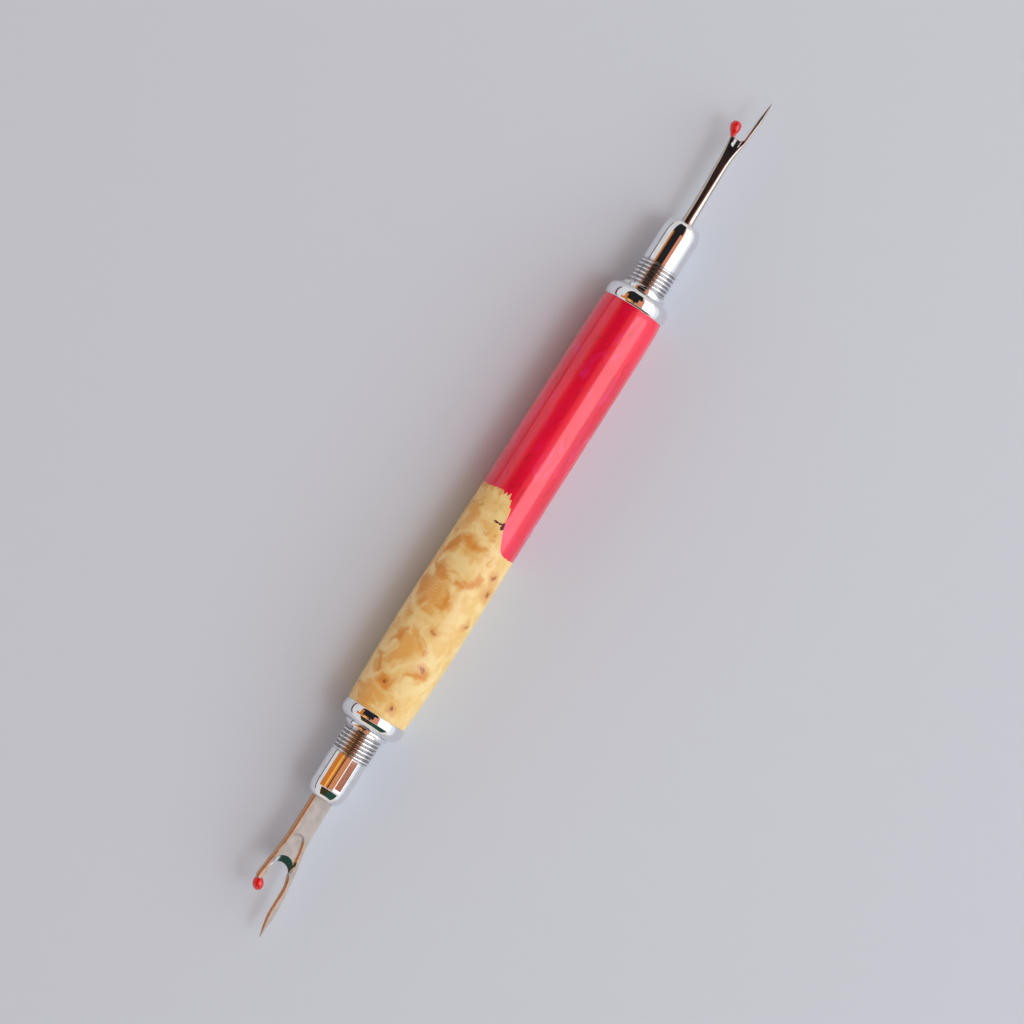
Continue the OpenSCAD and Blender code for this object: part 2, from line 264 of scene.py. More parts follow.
# The broken line between burl and resin, as (x, y), at three of SEAM_HEIGHTS over the axis
SEAM_UPPER = [
    (2.6, 9), (2.5, 6.2), (2.9, 4.4), (3.1, 3.1), (2.7, 2.2), (3.1, 0.7), (1.4, -0.2),
    (-0.6, -1.1), (-2.4, -1.4), (-4, -1.8), (-7.2, -3.3), (-7.8, -4.1), (-7.6, -6.3), (-7.4, -9),
]
SEAM_LOWER = [
    (2.8, 9), (3.0, 6.2), (1.9, 4.4), (2.2, 3.1), (0.4, 2.2), (-0.2, 0.7), (-2.1, -0.2),
    (-2.6, -1.1), (-4.3, -1.4), (-4.6, -1.8), (-6.4, -3.3), (-8.3, -4.1), (-7.1, -6.3), (-7.4, -9),
]
SEAM_UNDERSIDE = [
    (4.2, 9), (3.4, 6.2), (3.9, 4.4), (2.1, 3.1), (1.6, 2.2), (-1.2, 0.7), (-1.9, -0.2),
    (-4.4, -1.1), (-5.2, -1.4), (-5.0, -1.8), (-7.9, -3.3), (-7.2, -4.1), (-8.2, -6.3), (-8, -9),
]
SEAM_HEIGHTS = [-8, -4, 2, 8]


def handle_radius(x):
    return np.interp(x, HANDLE_LINE[:, 0], HANDLE_LINE[:, 1])


def seam_x(y, z):
    """Where burl meets resin, at a height z over the axis. Above 2 mm the line stays the same."""
    lines = [SEAM_UNDERSIDE, SEAM_LOWER, SEAM_UPPER, SEAM_UPPER]
    at = np.array([np.interp(y, [p[1] for p in line][::-1], [p[0] for p in line][::-1]) for line in lines])
    k = np.clip(np.searchsorted(SEAM_HEIGHTS, z) - 1, 0, 2)
    low, high = np.array(SEAM_HEIGHTS)[k], np.array(SEAM_HEIGHTS)[k + 1]
    share = np.clip((z - low) / (high - low), 0, 1)
    columns = np.arange(len(y))
    return at[k, columns] * (1 - share) + at[k + 1, columns] * share


def broken_edge(columns):
    """Teeth of the broken burl edge, one value for each column."""
    rng = np.random.default_rng(7)
    angle = np.arange(columns) / columns
    teeth = np.zeros(columns)
    for count, size in ((26, 0.22), (64, 0.16), (130, 0.06)):
        values = rng.uniform(-1, 1, count)
        values = np.append(values, values[0])
        teeth += size * np.interp(angle * count, np.arange(count + 1), values)
    # the ragged stretch along the top has coarser teeth
    tooth_w, tooth_h, top, half_stretch, fade = 0.78, 0.95, 0.238, 0.05, 0.012
    across = SEAM_R * np.cos(2 * math.pi * angle)
    ragged = smooth((half_stretch - np.abs(angle - top)) / fade)
    saw = 2 * np.abs((across / tooth_w) % 1 - 0.5)
    return teeth + tooth_h * (saw - 0.5) * ragged


def handle_section(name, end_x, slot, material):
    """One half of the handle, from its end face to the broken seam, bored for the tube."""
    columns = HANDLE_COLUMNS
    angles = 2 * math.pi * np.arange(columns) / columns
    y, z = np.cos(angles), np.sin(angles)
    teeth = broken_edge(columns)
    outer_seam = seam_x(SEAM_R * y, SEAM_R * z) + teeth
    inner_seam = seam_x(TUBE_OUTER_R * y, TUBE_OUTER_R * z) + 0.6 * teeth   # the teeth are lower at the bore
    rows = []
    for t in np.concatenate([np.linspace(0, 0.08, 8), np.linspace(0.1, 1, 44)]):
        x = end_x + (outer_seam - end_x) * t
        rows.append(ring(x, handle_radius(x), columns))
    rows.append(ring(inner_seam, TUBE_OUTER_R, columns))
    rows.append(ring(end_x, TUBE_OUTER_R, columns))
    rows.append(rows[0])
    skin = Skin()
    skin.grid(rows)
    skin.piece(name, on_axis, "handle", slot, [material])


# --- End fittings ---

def coupler():
    """Flange, sleeve and inside thread."""
    bulge_x, flange_r, end_r, lip_r = 1.3, 6.6, 6.28, 4.9
    sleeve_back, sleeve_r, chamfer = -6, 4.87, 0.3
    mouth_r, thread_back, thread_end = 4.3, -3.0, FLANGE_FRONT - 0.45
    back = [(bulge_x * (1 - math.sin(a)), end_r + (flange_r - end_r) * math.cos(a))
            for a in np.radians(np.linspace(84, 0, 15))]
    front = [(bulge_x + (FLANGE_FRONT - bulge_x) * math.sin(a), lip_r + (flange_r - lip_r) * math.cos(a))
             for a in np.radians(np.linspace(4, 90, 30))]
    sleeve = [(thread_back, mouth_r), (sleeve_back, mouth_r), (sleeve_back, sleeve_r - chamfer),
              (sleeve_back + chamfer, sleeve_r), (0, sleeve_r), (0, end_r)]
    mouth = rounded([(FLANGE_FRONT, lip_r - 0.1), (FLANGE_FRONT, mouth_r), (thread_end, mouth_r)], 0.1)
    skin = Skin()
    turned(skin, sleeve + back + front + mouth)
    threaded(skin, thread_back, thread_end, ROOT_R + 0.125, CREST_R + 0.06, mouth_r, 0.05, 0.5)
    return skin


def stop_ring():
    back, r, bore = FLANGE_FRONT + 0.04, 4.6, LAND_R + 0.05
    start = ((back + RING_FRONT) / 2, bore)
    outline = [start, (back, bore), (back, r), (RING_FRONT, r), (RING_FRONT, bore), start]
    skin = Skin()
    turned(skin, rounded(outline, 0.16, 5))
    return skin


def nose_outline():
    """The nose rounds in over its last stretch to the front face around the blade."""
    round_l, last = 3.2, math.radians(80)
    rounding = [
        (NOSE_FRONT - round_l + round_l * math.sin(a) / math.sin(last),
         NOSE_FACE_R + (NOSE_R - NOSE_FACE_R) * (math.cos(a) - math.cos(last)) / (1 - math.cos(last)))
        for a in np.linspace(0, last, 20)]
    return [(NOSE_BACK, LAND_R), (NOSE_BACK + 0.02, NOSE_R - 0.08), (NOSE_BACK + 0.1, NOSE_R)] + rounding


def tip_holder(hole_r):
    """Stud, land, reversing thread and nose in one piece. hole_r is the blade's hole, for each column."""
    stud_back, stud_start, stud_end = -3.5, -2.2, 3.05
    skin = Skin()
    dome = curve([(stud_back, 0), (stud_back + 0.02, 1.6), (stud_back + 0.12, 2.5), (stud_back + 0.45, 3.2),
                  (stud_back + 0.95, 3.65), (stud_start, ROOT_R)], 5)
    turned(skin, [tuple(p) for p in dome])
    threaded(skin, stud_start, stud_end, ROOT_R, CREST_R, ROOT_R, 0, 0.45)
    turned(skin, [(stud_end, ROOT_R), (stud_end + 0.03, LAND_R),
                  (THREAD_FRONT - 0.03, LAND_R), (THREAD_FRONT, ROOT_R)])
    threaded(skin, THREAD_FRONT, NOSE_BACK - 0.12, ROOT_R, CREST_R, ROOT_R, 0, 0.3)
    turned(skin, [(NOSE_BACK - 0.12, ROOT_R), (NOSE_BACK - 0.06, LAND_R)] + nose_outline()
           + [(NOSE_FRONT, NOSE_FACE_R - 0.06)])
    skin.grid([
        ring(NOSE_FRONT, NOSE_FACE_R - 0.06),
        ring(NOSE_FRONT, hole_r + 0.06),
        ring(NOSE_FRONT - 0.05, hole_r),
        ring(NOSE_FRONT - TANG_L, hole_r),
        ring(NOSE_FRONT - TANG_L, 0 * hole_r),
    ])
    return skin


def round_hole():
    return np.full(COLUMNS, SMALL_SHANK_R + 0.015)


def flat_hole():
    """Radius of the large blade's slot, seen from the axis, for each column."""
    angles = 2 * math.pi * np.arange(COLUMNS) / COLUMNS + LARGE_ROLL
    gap = 0.02
    wide = (LARGE_HALF_W + gap) / np.maximum(np.abs(np.cos(angles)), 1e-6)
    high = (LARGE_HALF_T + gap) / np.maximum(np.abs(np.sin(angles)), 1e-6)
    return np.minimum(wide, high)


# --- Blades: height fields over their outline, the same on both faces ---

def inside(points, loop):
    """Whether each point is inside a closed loop."""
    x, y = points[:, 0][:, None], points[:, 1][:, None]
    a, b = loop, np.roll(loop, -1, axis=0)
    crosses = (a[:, 1] > y) != (b[:, 1] > y)
    slope = (b[:, 0] - a[:, 0]) / np.where(b[:, 1] == a[:, 1], 1, b[:, 1] - a[:, 1])
    return (crosses & (x < a[:, 0] + slope * (y - a[:, 1]))).sum(axis=1) % 2 == 1


def distance_to(points, loop):
    """Distance from each point to a closed loop."""
    a, b = loop, np.roll(loop, -1, axis=0)
    ab = b - a
    ap = points[:, None, :] - a[None]
    t = np.clip((ap * ab).sum(-1) / np.maximum((ab * ab).sum(-1), 1e-12), 0, 1)
    return np.linalg.norm(ap - t[..., None] * ab, axis=-1).min(axis=1)


def width_inward(loop, normals):
    """How far it is from each point of a loop to its opposite side, along the inward normal."""
    a, b = loop, np.roll(loop, -1, axis=0)
    edge = b - a
    d = normals[:, None, :]
    w = a[None] - loop[:, None, :]
    cross = d[..., 0] * edge[:, 1] - d[..., 1] * edge[:, 0]
    safe = np.where(np.abs(cross) < 1e-9, 1e-9, cross)
    t = (w[..., 0] * edge[:, 1] - w[..., 1] * edge[:, 0]) / safe
    s = (w[..., 0] * d[..., 1] - w[..., 1] * d[..., 0]) / safe
    hit = (t > 0.004) & (s >= -1e-6) & (s <= 1 + 1e-6)
    return np.where(hit, t, 50).min(axis=1)


def blade(loop, top, edge_width, edge_height, steps, spacing, edge_mark, face_mark):
    """A blade's skin. top(points) is its half thickness, and the edges round over the given sizes.

    edge_mark(points) and face_mark(points) choose the material of the edges and of the faces.
    """
    area = 0.5 * np.sum(loop[:, 0] * np.roll(loop[:, 1], -1) - np.roll(loop[:, 0], -1) * loop[:, 1])
    if area < 0:
        loop = loop[::-1]
    after, before = np.roll(loop, -1, axis=0) - loop, loop - np.roll(loop, 1, axis=0)
    after /= np.linalg.norm(after, axis=1)[:, None]
    before /= np.linalg.norm(before, axis=1)[:, None]
    along = after + before
    along /= np.linalg.norm(along, axis=1)[:, None]
    inward = np.column_stack([-along[:, 1], along[:, 0]])
    room = width_inward(loop, inward)
    room = np.minimum.reduce([np.roll(room, k) for k in range(-2, 3)])
    largest_share = 0.42       # of the width there, so that the two edges never meet
    inset = np.minimum(edge_width(loop), largest_share * room)
    inset = np.mean([np.roll(inset, k) for k in range(-3, 4)], axis=0)
    rows = []
    for a in np.linspace(0, math.pi / 2, steps + 1):
        flat = loop + inward * (inset * (1 - math.cos(a)))[:, None]
        height = top(flat)
        drop = np.minimum(edge_height(loop), height) * (1 - math.sin(a))
        rows.append(np.column_stack([flat, height - drop]))
    skin = Skin()
    marks = edge_mark(loop)
    skin.grid([rows[0] * [1, 1, -1], rows[0]], mark=marks)
    for face in (1, -1):
        skin.grid([row * [1, 1, face] for row in rows], mark=marks)
    inner = rows[-1][:, :2]
    low, high = inner.min(axis=0), inner.max(axis=0)
    grid_x = np.arange(low[0], high[0], spacing)
    grid_y = np.arange(low[1], high[1], spacing * 0.866)
    lattice = np.array([(x + (k % 2) * spacing / 2, y) for k, y in enumerate(grid_y) for x in grid_x])
    lattice = lattice[inside(lattice, inner)]
    lattice = lattice[distance_to(lattice, inner) > 0.55 * spacing]
    flat = [Vector(p) for p in np.concatenate([inner, lattice])]
    border = [(i, (i + 1) % len(inner)) for i in range(len(inner))]
    found = delaunay_2d_cdt(flat, border, [list(range(len(inner)))], 1, 1e-5)
    points, triangles = np.array([tuple(p) for p in found[0]]), found[2]
    centres = np.array([points[list(t)].mean(axis=0) for t in triangles])
    keep = inside(centres, inner)
    triangles = [t for t, k in zip(triangles, keep) if k]
    height = top(points)
    marks = [int(m) for m in face_mark(centres[keep])]
    for face in (1, -1):
        skin.add(np.column_stack([points, height * face]), triangles, marks)
    return skin


def bevel_height(points, centre, r, back, widen, depth):
    """Height of the hollow that is ground from the gap's edge back into the face.

    The hollow's floor rises from near 0 at the gap's circle to depth at a circle that lies back behind
    it and is larger by widen. Outside the hollow the height is far above the blade's.
    """
    near_zero, reach, far_above = 0.05, 1.6, 9
    qx, qy = points[:, 0] - centre[0], points[:, 1] - centre[1]
    a = back ** 2 - widen ** 2
    b = 2 * (qx * back - r * widen)
    c = qx ** 2 + qy ** 2 - r ** 2
    root = b * b - 4 * a * c
    s = (-b - np.sqrt(np.maximum(root, 0))) / (2 * a)
    s = np.where(c <= 0, 0, s)
    return np.where((root >= 0) & (s >= 0) & (s <= reach), near_zero + (depth - near_zero) * s, far_above)


LARGE_GAP = (16.6, 0.15)
LARGE_GAP_R = 2.15
# Half thickness along each blade, as (x, half thickness)
LARGE_SIDE = np.array([
    (-TANG_L, LARGE_HALF_T), (9, LARGE_HALF_T), (14, 0.82), (20, 0.62), (26, 0.42), (28.1, 0.3),
    (BLADE_L, 0.1)])
SMALL_SIDE = np.array([
    (-TANG_L, 1.0), (4, 1.0), (10, 0.98), (16, 0.9), (20, 0.72), (25, 0.5), (28.1, 0.3), (BLADE_L, 0.1)])
# Rim of the teardrop hollow in the large blade's faces, open towards the gap
HOLLOW_RIM = curve([
    (15.4, 2.5), (14.8, 2.42), (12.9, 2.06), (11.4, 1.86), (9.7, 1.42), (8.6, 0.95), (8.1, 0.3),
    (8.08, -0.4), (8.45, -1.1), (9.2, -1.5), (10.1, -1.72), (12.4, -2.06), (15.4, -2.0)], 6)


def large_bevel(points):
    return bevel_height(points, LARGE_GAP, LARGE_GAP_R, 1.85, 0.1, 0.6)


def large_thickness(points):
    """Half thickness with the teardrop hollow, before the gap's bevel is ground."""
    height = np.interp(points[:, 0], LARGE_SIDE[:, 0], LARGE_SIDE[:, 1])
    depth_in = np.where(inside(points, HOLLOW_RIM), 1, -1) * distance_to(points, HOLLOW_RIM)
    depth, wall, open_end, fade = 0.34, 0.36, 15.2, 1.2
    return height - depth * smooth(depth_in / wall + 0.3) * smooth((open_end - points[:, 0]) / fade)


def large_top(points):
    return np.minimum(large_thickness(points), large_bevel(points))


def large_loop():
    outer = curve([
        (0, LARGE_HALF_W), (5, 2.13), (8, 2.2), (11, 2.52), (13.5, 3.1), (16.3, 3.6), (19.7, 4.07),
        (22.5, 4.38), (25, 4.46), (27.3, 4.37), (28.8, 4.26)], 12)
    inner = curve([
        (BLADE_L, 4.16), (28.3, 4.02), (26.8, 3.56), (24.5, 3.14), (22, 3.05), (19.7, 3.06), (18.2, 2.93),
        (17, 2.6), (15.9, 2.22), (15.15, 1.75), (14.65, 1.05), (14.45, 0.3), (14.52, -0.45),
        (14.9, -1.08), (15.6, -1.5), (16.9, -1.74), (18.9, -2), (19.6, -2.15)], 12)
    outer_prong = curve([
        (19.5, -2.7), (19.1, -3.05), (18.5, -3.12), (16.2, -2.87), (12.8, -2.45), (9, -2.15),
        (4, -LARGE_HALF_W), (0, -LARGE_HALF_W)], 12)
    step = 0.14
    tang = [(-TANG_L, -LARGE_HALF_W), (-TANG_L, LARGE_HALF_W)]
    return np.concatenate([
        respace(outer, step), respace(inner, step), respace(outer_prong, step),
        respace([(0, -LARGE_HALF_W), tang[0]], 0.5)[1:], respace(tang, 0.3)[1:],
        respace([tang[1], (0, LARGE_HALF_W)], 0.5)[1:-1]])


def large_blade():
    """The bead's side and the long tine's inner side have broad rounded edges, the gap a thin one."""
    def edge_width(points):
        x, y = points.T
        middle = np.interp(x, [0, 17, 22, BLADE_L], [0, 3.2, 3.72, 4.2])
        near_gap = (np.hypot(x - LARGE_GAP[0], y - LARGE_GAP[1]) < 2.6) & (x < 16.2)
        broad = np.where(y > 0, 0.36, 0.44)
        return np.where(near_gap, 0.08, np.where((y < middle) & (x > 0), broad, 0.14))

    def edge_height(points):
        return np.minimum(edge_width(points), 0.3)

    def edge_mark(points):
        # Broad edges get the copper-brown edge steel: a painted reflection of the warm shade beside the
        # tool.
        return np.where(edge_width(points) > 0.2, 1, 0)

    def face_mark(points):
        wall_in, half_wall = 0.06, 0.2
        # The hollow's wall on the +y side gets the copper-brown edge steel: painted reflection of the warm
        # shade beside the tool.
        wall = np.abs(distance_to(points, HOLLOW_RIM) - wall_in) < half_wall
        wall &= (points[:, 1] > 0.2) & (points[:, 0] > 9) & (points[:, 0] < 15)
        return np.where(large_bevel(points) < large_thickness(points), 2, np.where(wall, 1, 0))
    return blade(large_loop(), large_top, edge_width, edge_height, 6, 0.15, edge_mark, face_mark)


def large_bead():
    """An oval drop round the prong's end, leaning over the gap."""
    half_l, r = 1.38, 1.1
    skin = Skin()
    turned(skin, [(-half_l * math.cos(a), r * math.sin(a)) for a in np.linspace(0, math.pi, 33)], 64)
    return skin


SMALL_GAP = (20.25, -0.3)
SMALL_GAP_R = 0.85


def small_bevel(points):
    return bevel_height(points, SMALL_GAP, SMALL_GAP_R, 1.75, -0.05, 0.7)


def small_thickness(points):
    return np.interp(points[:, 0], SMALL_SIDE[:, 0], SMALL_SIDE[:, 1])


def small_top(points):
    return np.minimum(small_thickness(points), small_bevel(points))


def small_loop():
    outer = curve([
        (0, SMALL_SHANK_R), (0.3, 1.3), (1.2, 1.12), (4, 1.02), (9, 0.88), (12.2, 0.82), (15, 0.82),
        (17.4, 1.04), (19.6, 1.38), (21.8, 1.54), (24, 1.68), (26.4, 1.68), (28.8, 1.5)], 12)
    inner = curve([
        (BLADE_L, 1.42), (28.4, 1.32), (27, 1.06), (25, 0.86), (23.3, 0.76), (21.8, 0.69), (20.5, 0.68),
        (19.8, 0.56), (19.45, 0.2), (19.38, -0.5), (19.36, -1.2), (19.3, -1.95)], 12)
    outer_prong = curve([
        (19.1, -2.05), (18.9, -2.05), (16.7, -1.84), (14.5, -1.68), (11.7, -1.6), (8, -1.4),
        (4, -1.34), (0, -SMALL_SHANK_R)], 12)
    step = 0.1
    return np.concatenate([
        respace([(-TANG_L, SMALL_SHANK_R), (0, SMALL_SHANK_R)], 0.4)[:-1], respace(outer, step),
        respace(inner, step), respace(outer_prong, step),
        respace([(0, -SMALL_SHANK_R), (-TANG_L, -SMALL_SHANK_R)], 0.4)[1:],
        respace([(-TANG_L, -SMALL_SHANK_R), (-TANG_L, SMALL_SHANK_R)], 0.3)[1:-1]])


def small_blade():
    """Round in the shank, with a ground flat that widens towards the gap."""
    def edge_width(points):
        x = [0, 8, 14, 17.5, 19, 21, BLADE_L]
        width = [1.05, 0.72, 0.6, 0.42, 0.25, 0.3, 0.3]
        return np.interp(points[:, 0], x, width)

    def edge_height(points):
        return np.full(len(points), 2.0)

    def edge_mark(points):
        # All edges get the warmer, darker edge steel: painted reflection of the warm surroundings.
        return np.ones(len(points))

    def face_mark(points):
        return np.where(small_bevel(points) < small_thickness(points), 2, 0)
    return blade(small_loop(), small_top, edge_width, edge_height, 10, 0.12, edge_mark, face_mark)


def small_bead():
    """A drop: narrow where it meets the blade, round at its free end."""
    round_x, round_r = 2.18, 1.12
    flank = curve([(0, 0.44), (0.7, 0.62), (1.4, 0.96), (round_x, round_r)], 6)
    cap = [(round_x + round_r * math.sin(a), round_r * math.cos(a))
           for a in np.radians(np.linspace(8, 90, 14))]
    skin = Skin()
    turned(skin, [(0, 0), (0, 0.38)] + [tuple(p) for p in flank] + cap, 64)
    return skin


# --- Materials ---

class Shader:
    """A material's node tree, with short names for the nodes used here."""

    def __init__(self, name, **values):
        self.material = bpy.data.materials.new(name)
        self.material.use_nodes = True
        self.tree = self.material.node_tree
        self.bsdf = self.tree.nodes["Principled BSDF"]
        for key, value in values.items():
            self.bsdf.inputs[key.replace("_", " ")].default_value = value
        place = self.node("ShaderNodeTexCoord").outputs["Object"]
        self.mm = self.vector("SCALE", place, 1 / MM)

    def node(self, kind, **settings):
        made = self.tree.nodes.new(kind)
        for key, value in settings.items():
            setattr(made, key, value)
        return made

    def feed(self, socket, value):
        if isinstance(value, bpy.types.NodeSocket):
            self.tree.links.new(value, socket)
        else:
            socket.default_value = value

    def vector(self, operation, a, b):
        made = self.node("ShaderNodeVectorMath", operation=operation)
        self.feed(made.inputs[0], a)
        self.feed(made.inputs["Scale"] if operation == "SCALE" else made.inputs[1], b)
        return made.outputs["Value"] if operation == "DISTANCE" else made.outputs["Vector"]

    def math(self, operation, a, b=0.0):
        made = self.node("ShaderNodeMath", operation=operation)
        self.feed(made.inputs[0], a)
        self.feed(made.inputs[1], b)
        return made.outputs[0]

    def noise(self, vector, scale, detail=2.0, roughness=0.5, distortion=0.0, colour=False):
        made = self.node("ShaderNodeTexNoise")
        self.feed(made.inputs["Vector"], vector)
        made.inputs["Scale"].default_value = scale
        made.inputs["Detail"].default_value = detail
        made.inputs["Roughness"].default_value = roughness
        made.inputs["Distortion"].default_value = distortion
        return made.outputs["Color" if colour else "Fac"]

    def warped(self, vector, scale, amount):
        """The same place, pushed about by up to half this many mm."""
        push = self.noise(vector, scale, colour=True)
        push = self.vector("SUBTRACT", push, (0.5, 0.5, 0.5))
        return self.vector("ADD", vector, self.vector("SCALE", push, amount))

    def span(self, value, low, high, to_low=0.0, to_high=1.0):
        made = self.node("ShaderNodeMapRange", interpolation_type="SMOOTHSTEP")
        self.feed(made.inputs["Value"], value)
        made.inputs["From Min"].default_value = low
        made.inputs["From Max"].default_value = high
        made.inputs["To Min"].default_value = to_low
        made.inputs["To Max"].default_value = to_high
        return made.outputs["Result"]

    def mix(self, share, a, b):
        made = self.node("ShaderNodeMix", data_type="RGBA")
        self.feed(made.inputs["Factor"], share)
        self.feed(made.inputs[6], a)
        self.feed(made.inputs[7], b)
        return made.outputs[2]

    def bump(self, height, distance):
        """Bumps of this height in mm."""
        made = self.node("ShaderNodeBump")
        self.feed(made.inputs["Height"], height)
        made.inputs["Distance"].default_value = distance * MM
        made.inputs["Strength"].default_value = 1.0
        self.feed(self.bsdf.inputs["Normal"], made.outputs["Normal"])

    def set(self, name, value):
        self.feed(self.bsdf.inputs[name], value)


def rgb(red, green, blue):
    """A colour given as 0 to 255, in the renderer's linear values."""
    def linear(v):
        v = v / 255
        return v / 12.92 if v <= 0.04045 else ((v + 0.055) / 1.055) ** 2.4
    return (linear(red), linear(green), linear(blue), 1.0)


def swirls(s, colour, place, fine):
    """Amber crescents round five swirl centres, each with a pale line outside it."""
    # x, y, height over the axis, radius of the crescent and its width
    for x, y, z, radius, wide in (
            (-20.8, 3.3, 6.0, 3.4, 1.7), (-34.5, 1.8, 6.5, 4.6, 1.5), (-12.5, 1.5, 6.5, 4.2, 1.6),
            (-28.0, -1.0, -6.7, 4.5, 1.8), (-12.0, -2.0, -6.4, 4.0, 1.6)):
        d = s.vector("DISTANCE", place, (x, y, z + AXIS_Z))
        d = s.math("ADD", d, s.math("MULTIPLY", s.math("SUBTRACT", fine, 0.5), 1.6))
        off = s.math("ABSOLUTE", s.math("SUBTRACT", d, radius))
        band = s.span(off, wide, 0.25 * wide, 0.0, 0.85)
        band = s.math("MULTIPLY", band, s.span(s.noise(place, 0.3, 2.0), 0.4, 0.6))
        colour = s.mix(band, colour, rgb(224, 146, 54))
        off = s.math("ABSOLUTE", s.math("SUBTRACT", d, radius + 1.25 * wide))
        colour = s.mix(s.span(off, 0.8, 0.2, 0.0, 0.3), colour, rgb(252, 232, 172))
    return colour


def feathers(s, colour, place, fine, along):
    """Amber patch with feathered growth lines across the middle of the largest swirl."""
    d = s.vector("DISTANCE", place, (-20.8, 4.0, 5.6 + AXIS_Z))
    colour = s.mix(s.span(d, 4.6, 1.6, 0.0, 0.7), colour, rgb(236, 172, 82))
    comb = s.math("ADD", s.math("MULTIPLY", along, 9.0), s.math("MULTIPLY", fine, 22.0))
    lines = s.math("MULTIPLY", s.span(s.math("SINE", comb), 0.1, 1.0), s.span(d, 4.2, 2.0, 0.0, 0.4))
    return s.mix(lines, colour, rgb(206, 128, 50))


def eyes(s, colour, place, fine):
    # x, y, height over the axis and size
    for x, y, z, size in (
            (-43.1, -2.3, 6.0, 0.7), (-34.6, -2.1, 6.5, 0.9), (-29.8, -5.4, 4.2, 0.8),
            (-22.3, -4.8, 4.8, 0.8), (-15.4, -5.2, 4.2, 1.0), (-12.3, -5.0, 4.4, 0.8),
            (-38.7, 2.3, 6.3, 0.7), (-26.5, -1.5, 6.6, 0.5), (-31.0, 4.0, -5.4, 1.0),
            (-18.0, -2.0, -6.4, 1.1), (-39.0, -3.5, -5.6, 0.9), (-9.0, 3.0, -5.8, 0.9)):
        d = s.vector("DISTANCE", place, (x, y, z + AXIS_Z))
        colour = s.mix(s.span(d, 2.6 * size, size, 0.0, 0.5), colour, rgb(220, 140, 66))
        core = s.math("MULTIPLY", s.span(d, size, 0.35 * size), s.span(fine, 0.38, 0.55, 0.35, 0.95))
        colour = s.mix(core, colour, rgb(160, 78, 44))
    return colour


def broken_end(s, colour, place, along):
    """Darker wood towards the broken edge, with a bark inclusion and its crack."""
    near_break = s.span(along, -12.0, -5.0)
    patch = s.math("MULTIPLY", near_break, s.span(s.noise(place, 0.55, 3.0), 0.5, 0.68, 0.0, 0.6))
    colour = s.mix(patch, colour, rgb(214, 136, 60))
    for (x, y, z), size in (((-3.0, -1.35, 6.5), (0.75, 0.5, 0.8)), ((-2.8, -0.1, 6.6), (0.17, 1.1, 0.8))):
        away = s.vector("SUBTRACT", s.warped(s.mm, 1.6, 0.7), (x, y, z + AXIS_Z))
        d = s.vector("DISTANCE", s.vector("DIVIDE", away, size), (0, 0, 0))
        colour = s.mix(s.span(d, 1.15, 0.8), colour, rgb(92, 14, 22))
    return colour


def burl_material():
    """Yellow burl under gloss: broad amber swirls, a feathered patch, and small reddish eyes. The amber is
    weaker towards -Y and stronger towards +Y, as painted light and shade.
    """
    s = Shader("burl_wood", Roughness=0.55, Specular_IOR_Level=0.2, Coat_Weight=0.6, Coat_Roughness=0.04)
    parts = s.node("ShaderNodeSeparateXYZ")
    s.feed(parts.inputs[0], s.mm)
    along, across = parts.outputs["X"], parts.outputs["Y"]
    place = s.warped(s.mm, 0.14, 6.0)
    place = s.warped(place, 0.6, 1.2)
    fine = s.noise(place, 2.6, 3.0, 0.6)

    colour = s.mix(s.span(s.noise(place, 0.3, 2.0), 0.35, 0.65), rgb(250, 224, 160), rgb(242, 206, 130))
    broad = s.span(s.noise(place, 0.17, 3.0, 0.5, 0.6), 0.46, 0.6, 0.0, 0.9)
    # Painted light and shade: the amber patches, the wood's own, grow from a quarter towards -Y, the
    # window's side, to full towards +Y, away from it.
    broad = s.math("MULTIPLY", broad, s.span(across, -3.0, 3.5, 0.25, 1.0))
    colour = s.mix(broad, colour, rgb(236, 176, 88))
    colour = swirls(s, colour, place, fine)
    colour = feathers(s, colour, place, fine, along)
    colour = eyes(s, colour, place, fine)
    colour = broken_end(s, colour, place, along)
    specks = s.span(s.noise(s.mm, 3.5, 2.0), 0.66, 0.74, 0.0, 0.4)
    s.set("Base Color", s.mix(specks, colour, rgb(200, 124, 58)))
    s.bump(fine, 0.012)
    return s.material


def resin_material():
    """Cast red resin with pearly magenta wisps drawn out along the handle, under gloss."""
    s = Shader("red_resin", Metallic=0.12, Coat_Weight=1.0, Coat_Roughness=0.015)
    place = s.vector("MULTIPLY", s.mm, (0.28, 1.0, 1.0))
    place = s.warped(place, 0.18, 4.5)
    wisps = s.noise(place, 0.45, 4.0, 0.6, 1.0)
    clouds = s.noise(place, 0.15, 2.0)
    colour = s.mix(s.span(clouds, 0.35, 0.65), rgb(232, 0, 52), rgb(252, 6, 62))
    colour = s.mix(s.span(wisps, 0.5, 0.72, 0.0, 0.8), colour, rgb(240, 44, 112))
    colour = s.mix(s.span(wisps, 0.42, 0.28, 0.0, 0.6), colour, rgb(190, 0, 38))
    s.set("Base Color", colour)
    s.set("Roughness", s.span(wisps, 0.3, 0.7, 0.42, 0.28))
    s.bump(wisps, 0.03)
    return s.material


def metal(name, colour, roughness, scratch=0.02, grain=None, depth=0.0, metallic=1.0):
    """Bare or plated metal: faint patches of wear, fine scratches and a slightly uneven face."""
    s = Shader(name, Metallic=metallic)
    patches = s.noise(s.mm, 0.6, 3.0)
    place = s.vector("MULTIPLY", s.mm, grain) if grain else s.mm
    fine = s.noise(place, 6.0, 4.0, 0.65)
    duller = tuple(0.86 * c for c in colour[:3]) + (1.0,)
    s.set("Base Color", s.mix(s.span(patches, 0.35, 0.7, 0.0, 0.5), colour, duller))
    worn = s.span(patches, 0.3, 0.75, roughness, roughness * 1.5)
    s.set("Roughness", s.math("ADD", worn, s.math("MULTIPLY", fine, scratch)))
    if depth:
        s.bump(fine, depth)
    return s.material


